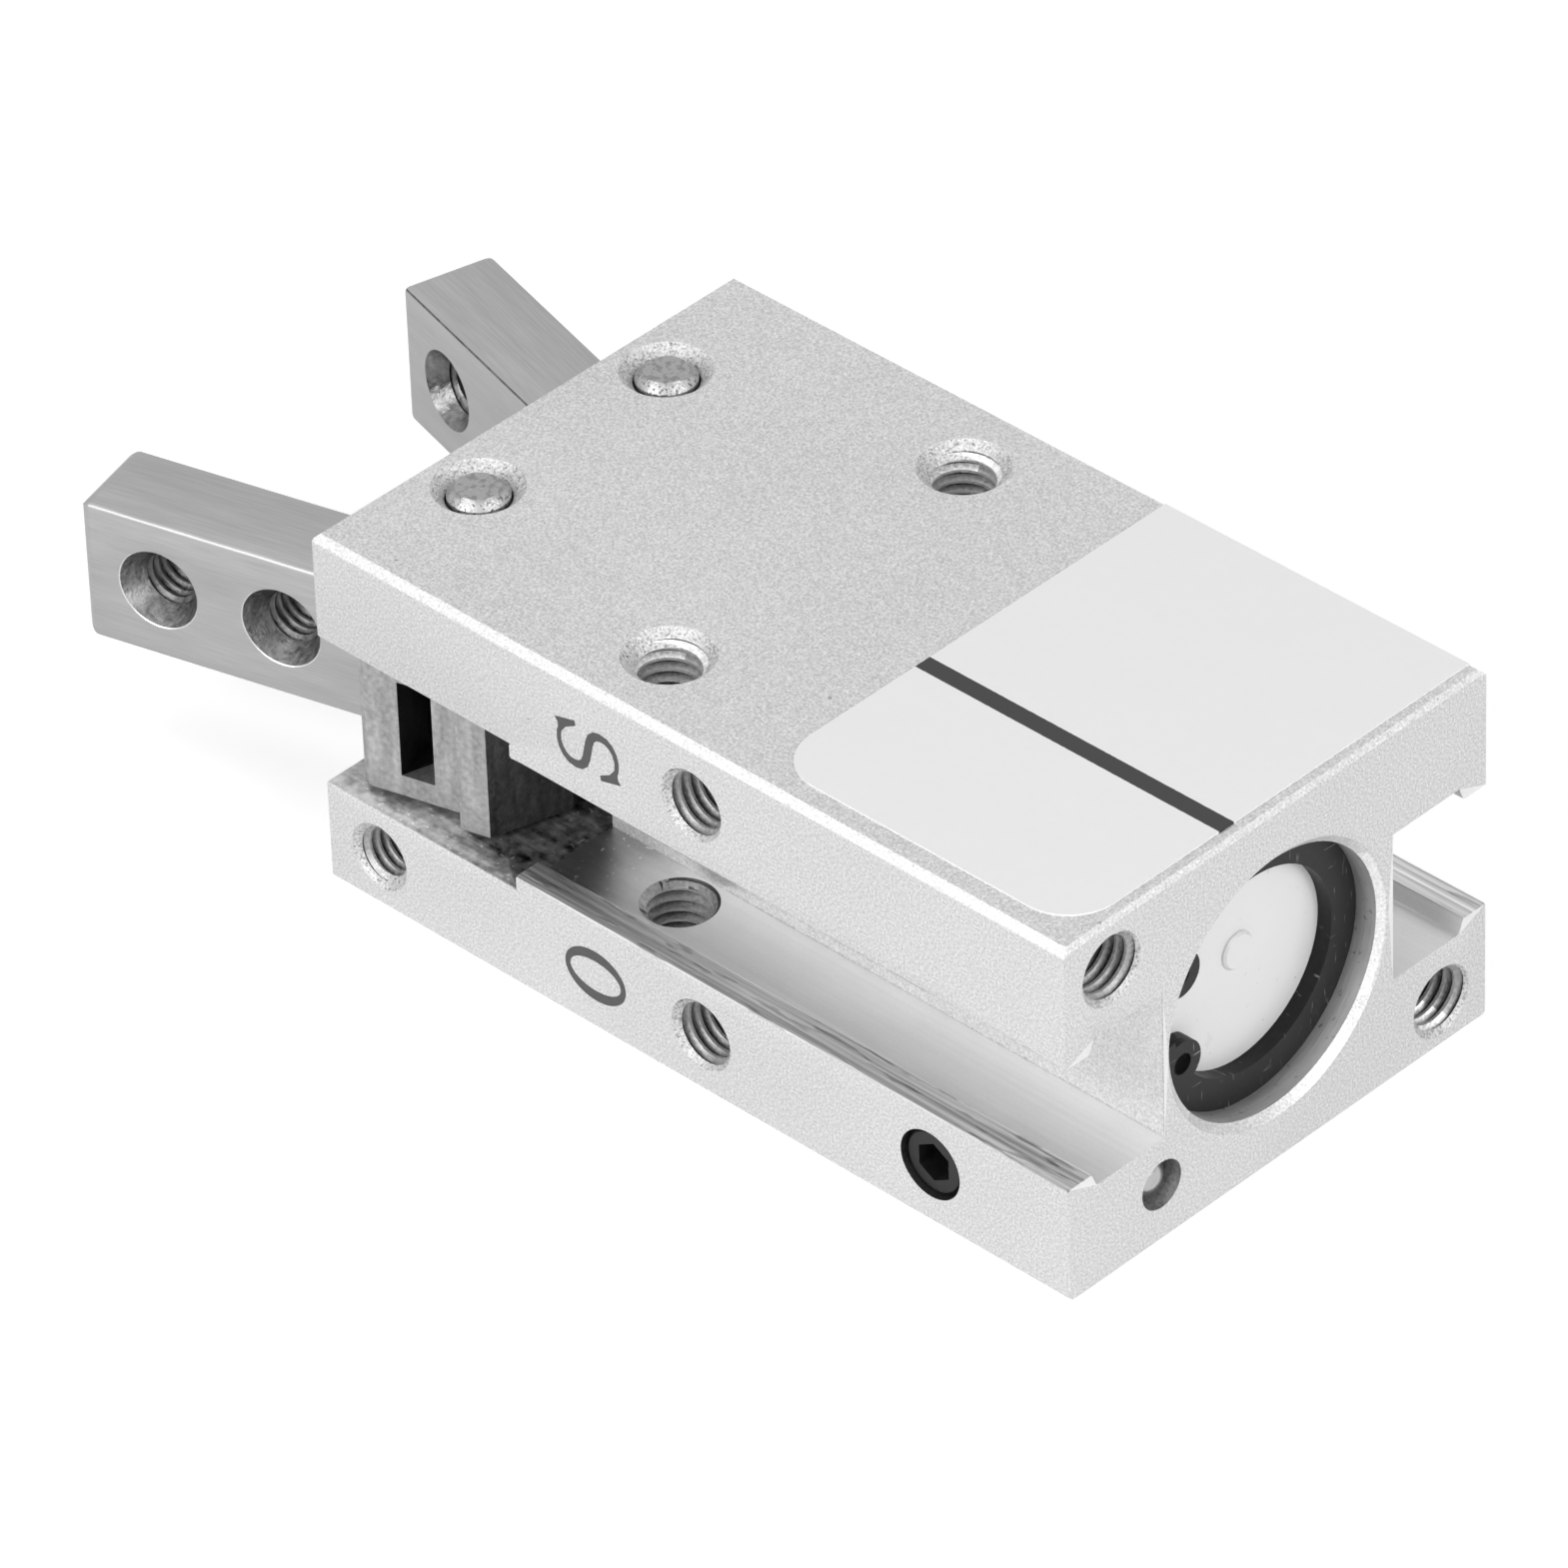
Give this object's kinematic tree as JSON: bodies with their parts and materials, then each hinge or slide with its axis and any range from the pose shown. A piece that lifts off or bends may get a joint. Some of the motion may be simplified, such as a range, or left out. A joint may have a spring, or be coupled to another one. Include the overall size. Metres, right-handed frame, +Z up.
{
  "type": "pneumatic angular gripper",
  "caption": "Small air gripper with two fingers that swing open and shut on pins at the front of a slotted aluminium body.",
  "frame": {"origin": "on the cylinder axis at the rear end face, the centre of the two rear mounting holes", "axes": "+X from the rear face to the fingers, +Y towards the side with the air ports, +Z up through the labelled face"},
  "size_m": [0.053, 0.023, 0.0165],
  "materials": {
    "anodised_aluminium": "fine bead-blasted, clear anodised",
    "piston_aluminium": "turned",
    "finger_steel": "ground stainless steel",
    "pin_steel": "hardened and ground",
    "ball_steel": "polished bearing steel",
    "black_steel": "black oxide",
    "magnet_metal": "sintered, coated",
    "bush_bronze": "sintered bronze",
    "white_plastic": "moulded",
    "seal_rubber": "nitrile rubber",
    "label_film": "satin film with a black line"
  },
  "bodies": {
    "housing": {"body": "anodised_aluminium", "end_cap": "white_plastic", "cap_oring": "seal_rubber", "retaining_ring": "black_steel", "rear_bumper": "seal_rubber", "front_bumper": "seal_rubber", "seal_washer": "finger_steel", "rod_seal": "seal_rubber", "rod_bush": "bush_bronze", "pivot_pin_left": "pin_steel", "pivot_pin_right": "pin_steel", "passage_ball": "ball_steel", "passage_plug_screw": "black_steel", "label": "label_film"},
    "piston_set": {"piston": "piston_aluminium", "piston_seal": "seal_rubber", "magnet": "magnet_metal", "magnet_retainer": "piston_aluminium", "piston_screw": "black_steel", "piston_rod": "finger_steel", "centre_pusher": "finger_steel", "drive_pin": "pin_steel"},
    "left_finger": {"finger_left": "finger_steel"},
    "right_finger": {"finger_right": "finger_steel"}
  },
  "joints": [
    {"name": "piston_slide", "type": "slide", "parent": "housing", "child": "piston_set", "axis": [1, 0, 0], "range_m": [-0.0018, 0]},
    {"name": "finger_left_pivot", "type": "hinge", "parent": "housing", "child": "left_finger", "pos_m": [0.0361, 0.0051, 0], "axis": [0, 0, 1], "range_deg": [-20, 0]},
    {"name": "finger_right_pivot", "type": "hinge", "parent": "housing", "child": "right_finger", "pos_m": [0.0361, -0.0051, 0], "axis": [0, 0, -1], "range_deg": [-20, 0]}
  ],
  "couplings": [
    {"joint": "finger_left_pivot", "follows": "piston_slide", "rad_per_m": 194.08},
    {"joint": "finger_right_pivot", "follows": "piston_slide", "rad_per_m": 194.08}
  ]
}
